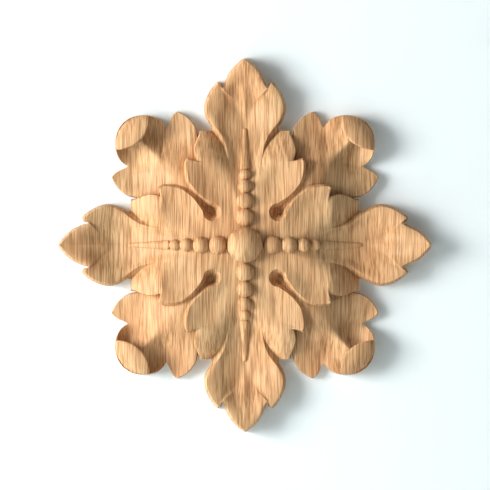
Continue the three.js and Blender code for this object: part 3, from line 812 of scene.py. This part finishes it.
# %% Grain of the block
wood = bpy.data.materials.new("bare_wood")
wood.use_nodes = True
nodes, links = wood.node_tree.nodes, wood.node_tree.links


def add(kind, inputs, **settings):
    """Adds a shader node; each input is linked if it is a socket and set if it is a value."""
    made = nodes.new("ShaderNode" + kind)
    for name, value in settings.items():
        setattr(made, name, value)
    for socket, value in inputs.items():
        if isinstance(value, bpy.types.NodeSocket):
            links.new(value, made.inputs[socket])
        else:
            made.inputs[socket].default_value = value
    return made.outputs[0]


DEPTH_SHARE = 0.1  # how fast a pattern changes in depth, against across the face


def stretched(place, across, along):
    """The place scaled by one factor across the grain, less in depth, and another along it."""
    return add("VectorMath", {0: place, 1: (across, across * DEPTH_SHARE, along)}, operation="MULTIPLY")


def noise(place, roughness=0.5):
    """Soft noise about 0.5 at a place."""
    return add("TexNoise", {"Vector": place, "Scale": 1.0, "Detail": 2.0, "Roughness": roughness})


def ranged(value, start, end, low, high):
    """A value carried over from one span to another, and held at its ends."""
    return add("MapRange", {0: value, 1: start, 2: end, 3: low, 4: high})


def blend(a, b, share, mode="MIX"):
    """Two colours mixed in a given way."""
    made = add("Mix", {0: share, 6: a, 7: b}, data_type="RGBA", blend_type=mode)
    return made.node.outputs[2]


block = nodes.new("ShaderNodeTexCoord").outputs["Object"]
block_mm = add("VectorMath", {0: block, "Scale": 1 / MM}, operation="SCALE")

WANDER = 2.2  # how far the grain wanders sideways
WANDER_WIDTH, WANDER_LENGTH = 24, 60
PITH = (150.0, 40.0, 0.0)
RINGS_PER_MM = 0.55
drift = noise(stretched(block_mm, 1 / WANDER_WIDTH, 1 / WANDER_LENGTH))
drift = ranged(drift, 0.0, 1.0, -WANDER, WANDER)
drift = add("CombineXYZ", {0: drift, 1: drift})
grain = add("VectorMath", {0: block_mm, 1: drift}, operation="ADD")

from_pith = add("VectorMath", {0: grain, 1: PITH}, operation="SUBTRACT")
from_pith = add("VectorMath", {0: from_pith, 1: (1, 1, 0)}, operation="MULTIPLY")
from_pith = add("VectorMath", {0: from_pith}, operation="LENGTH").node.outputs["Value"]
bands = {"W": from_pith, "Scale": RINGS_PER_MM, "Detail": 3.0, "Roughness": 0.7}
rings = add("TexNoise", bands, noise_dimensions="1D")
print("the rings lie", round(float(np.hypot(*PITH[:2])), 1), "mm from their pith at the ball")

# %% [markdown]
# ### Fibres and pores
#
# Fibres are noise drawn out along the grain, a coarse and a fine one. Pores are the cells of a
# Voronoi pattern, drawn out the same way and kept only close to their middles, which leaves
# short dark dashes.

# %% Fibres and pores
FIBRE_WIDTH, FIBRE_LENGTH = 0.42, 15.0
STREAK_WIDTH, STREAK_LENGTH = 2.2, 70.0
PORE_SPACING, PORE_LENGTH = 0.9, 10.0
PORE_CORE, PORE_RIM = 0.12, 0.26  # from its middle a pore is full to the first share, gone at the second

fibres = noise(stretched(grain, 1 / FIBRE_WIDTH, 1 / FIBRE_LENGTH), roughness=0.65)
streaks = noise(stretched(grain, 1 / STREAK_WIDTH, 1 / STREAK_LENGTH))
cells = add("TexVoronoi", {"Vector": stretched(grain, 1 / PORE_SPACING, 1 / PORE_LENGTH), "Scale": 1.0})
pores = ranged(cells, PORE_CORE, PORE_RIM, 1.0, 0.0)
pore_wide, pore_long = np.round(np.array([PORE_SPACING, PORE_LENGTH]) * (PORE_CORE + PORE_RIM), 2)
print("pores are about", pore_wide, "mm wide and", pore_long, "mm long")

# %% [markdown]
# ### Colour and finish
#
# Fibres, streaks and rings add up to one tone, and a ramp turns the tone into colours from reddish
# brown to straw. Slow patches shift the hue, and the pores darken it. Sanded bare wood has a weak,
# broad gloss, and the fibres and pores can just be felt, so they also drive a shallow bump.


# %% Colour and finish
REDDISH_BROWN = (0.36, 0.182, 0.077, 1)
TAN = (0.565, 0.318, 0.151, 1)
STRAW = (0.69, 0.425, 0.22, 1)
PORE_BROWN = (0.25, 0.12, 0.05, 1)
WARM_TINT, COOL_TINT = (1.06, 0.97, 0.92, 1), (0.95, 1.02, 1.04, 1)
FIBRE_WEIGHT, STREAK_WEIGHT, RING_WEIGHT, PORE_WEIGHT = 3.0, 0.6, 0.7, 0.5
DARK_TONE, MIDDLE_TONE, LIGHT_TONE = 0.1, 0.5, 0.9
PATCH_WIDTH, PATCH_LENGTH = 22, 45
PATCH_LOW, PATCH_HIGH = 0.35, 0.65  # noise up to which a patch is fully warm, and past which fully cool
BUMP_STRENGTH, BUMP_HEIGHT = 0.3, 0.05
ROUGHNESS, GLOSS = 0.55, 0.25


def weighted(value, weight):
    """Distance of a noise from its middle, times a weight."""
    return add("MapRange", {0: value, 1: 0.0, 2: 1.0, 3: -weight / 2, 4: weight / 2}, clamp=False)


tone = add("Math", {0: weighted(fibres, FIBRE_WEIGHT), 1: weighted(streaks, STREAK_WEIGHT)}, operation="ADD")
tone = add("Math", {0: tone, 1: weighted(rings, RING_WEIGHT)}, operation="ADD")
tone = add("Math", {0: tone, 1: MIDDLE_TONE}, operation="ADD")
ramp = nodes.new("ShaderNodeValToRGB")
links.new(tone, ramp.inputs[0])
ramp.color_ramp.elements[0].position = DARK_TONE
ramp.color_ramp.elements[0].color = REDDISH_BROWN
ramp.color_ramp.elements[1].position = LIGHT_TONE
ramp.color_ramp.elements[1].color = STRAW
middle = ramp.color_ramp.elements.new(MIDDLE_TONE)
middle.color = TAN

patches = noise(stretched(block_mm, 1 / PATCH_WIDTH, 1 / PATCH_LENGTH))
hue = blend(WARM_TINT, COOL_TINT, ranged(patches, PATCH_LOW, PATCH_HIGH, 0.0, 1.0))
colour = blend(ramp.outputs[0], hue, 1.0, "MULTIPLY")
dark_pores = add("Math", {0: pores, 1: PORE_WEIGHT}, operation="MULTIPLY")
colour = blend(colour, PORE_BROWN, dark_pores)

felt = add("Math", {0: fibres, 1: pores}, operation="SUBTRACT")
bump = add("Bump", {"Height": felt, "Strength": BUMP_STRENGTH, "Distance": BUMP_HEIGHT * MM})
finish = nodes["Principled BSDF"]
finish.inputs["Roughness"].default_value = ROUGHNESS
finish.inputs["Specular IOR Level"].default_value = GLOSS
links.new(colour, finish.inputs["Base Color"])
links.new(bump, finish.inputs["Normal"])

rosette.data.materials.clear()
rosette.data.materials.append(wood)
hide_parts(NODE)
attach(rosette, "root")
print("wood has", len(nodes), "nodes")

# %% [markdown]
# ## Wall and floor
#
# The rosette hangs just in front of a plain pale wall, over a plain floor. The wall's back is
# transparent, so that the piece can also be looked at from behind, and rays shorter than a little
# over a millimetre pass the wall, so that light from behind reaches the back of the piece.

# %% Wall and floor
WALL_GAP = 0.0005
FLOOR_LEVEL = -0.3
HALF_ROOM = 4.0
SHORT_RAY = 0.0013
PALE_PAINT = (0.8, 0.86, 0.87, 1)


def sheet(name, corners, see_through_back):
    """A flat pale sheet of the stage through four corners."""
    mesh = bpy.data.meshes.new(name)
    mesh.from_pydata(corners, [], [(0, 1, 2, 3)])
    made = bpy.data.objects.new(name, mesh)
    bpy.context.collection.objects.link(made)
    paint = bpy.data.materials.new(name)
    paint.use_nodes = True
    tree = paint.node_tree
    matt = tree.nodes["Principled BSDF"]
    matt.inputs["Base Color"].default_value = PALE_PAINT
    matt.inputs["Roughness"].default_value = 0.9
    matt.inputs["Specular IOR Level"].default_value = 0.1
    if see_through_back:
        clear = tree.nodes.new("ShaderNodeBsdfTransparent")
        both = tree.nodes.new("ShaderNodeMixShader")
        side = tree.nodes.new("ShaderNodeNewGeometry")
        ray = tree.nodes.new("ShaderNodeLightPath")
        short, passes = tree.nodes.new("ShaderNodeMath"), tree.nodes.new("ShaderNodeMath")
        short.operation, passes.operation = "LESS_THAN", "MAXIMUM"
        short.inputs[1].default_value = SHORT_RAY
        tree.links.new(ray.outputs["Ray Length"], short.inputs[0])
        tree.links.new(short.outputs[0], passes.inputs[0])
        tree.links.new(side.outputs["Backfacing"], passes.inputs[1])
        tree.links.new(passes.outputs[0], both.inputs[0])
        tree.links.new(matt.outputs[0], both.inputs[1])
        tree.links.new(clear.outputs[0], both.inputs[2])
        tree.links.new(both.outputs[0], tree.nodes["Material Output"].inputs["Surface"])
    mesh.materials.append(paint)
    return made


w, g, f = HALF_ROOM, WALL_GAP, FLOOR_LEVEL
wall_sheet = sheet("wall", [(-w, g, f), (w, g, f), (w, g, w), (-w, g, w)], True)
sheet("floor", [(-w, -w, f), (w, -w, f), (w, w, f), (-w, w, f)], False)
print("wall faces", tuple(round(v, 2) for v in wall_sheet.data.polygons[0].normal))

# %% [markdown]
# ## Light
#
# In the photograph a soft lamp stands far to the left, about 33 degrees off the wall: shadows fall
# to the right with blurred rims. A small bright lamp makes them and a broad one blurs them, and
# a weak warm world fills them in. A third lamp behind the wall only lights the flat back.


# %% Light
WORLD_COLOUR = (0.98, 0.97, 0.95, 1)
WORLD_STRENGTH = 0.27


def area_light(name, place, size, power):
    """A square lamp at a place, facing the middle of the rosette."""
    data = bpy.data.lights.new(name, "AREA")
    data.size, data.energy = size, power
    lamp = bpy.data.objects.new(name, data)
    lamp.location = place
    lamp.rotation_euler = Vector(place).to_track_quat("Z", "Y").to_euler()
    bpy.context.collection.objects.link(lamp)


area_light("key", (-0.995, -0.67, 0.08), size=0.55, power=19.4)
area_light("broad", (-1.1, -0.5, 0.1), size=1.4, power=4.5)
area_light("behind", (-0.7, 1.3, 0.5), size=0.8, power=12)
world = bpy.data.worlds.new("world")
bpy.context.scene.world = world
world.use_nodes = True
sky = world.node_tree.nodes["Background"]
sky.inputs["Color"].default_value = WORLD_COLOUR
sky.inputs["Strength"].default_value = WORLD_STRENGTH
bpy.context.scene.view_settings.view_transform = "Standard"
